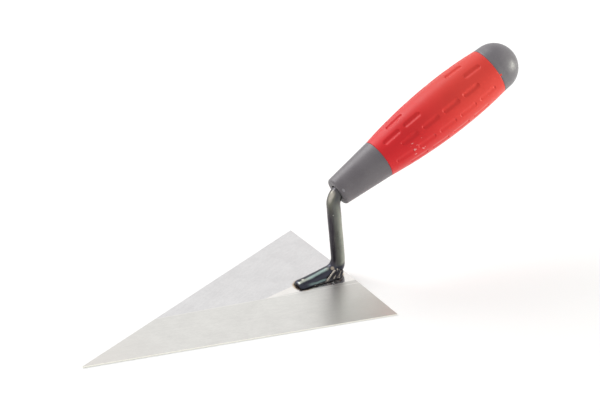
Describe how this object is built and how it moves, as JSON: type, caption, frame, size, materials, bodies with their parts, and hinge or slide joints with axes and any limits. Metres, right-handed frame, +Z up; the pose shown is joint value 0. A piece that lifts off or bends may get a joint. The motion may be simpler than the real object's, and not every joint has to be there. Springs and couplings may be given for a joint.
{
  "type": "brick trowel",
  "caption": "Pointed masonry trowel: a triangular ground steel blade, a cranked steel tang welded on by its foot, and a two-material moulded handle.",
  "frame": {"origin": "centroid of the blade's flat underside", "axes": "+X from the blade's point towards the handle, +Y to the trowel's left side, +Z up from the underside"},
  "size_m": [0.3334, 0.1224, 0.1317],
  "materials": {
    "blade": "fine straight belt grinding, lightly lacquered",
    "tang": "forged and blackened, smooth and oily",
    "weld": "as welded, rippled and blackened",
    "handle_core": "moulded, satin",
    "grip": "soft moulded elastomer, satin",
    "butt_cap": "moulded, satin"
  },
  "bodies": {
    "root": {"blade": "blade", "tang": "tang", "weld_bead_right": "weld", "weld_bead_left": "weld", "weld_bead_heel": "weld", "handle_core": "handle_core", "grip_sleeve": "grip", "butt_cap": "butt_cap"}
  },
  "joints": []
}
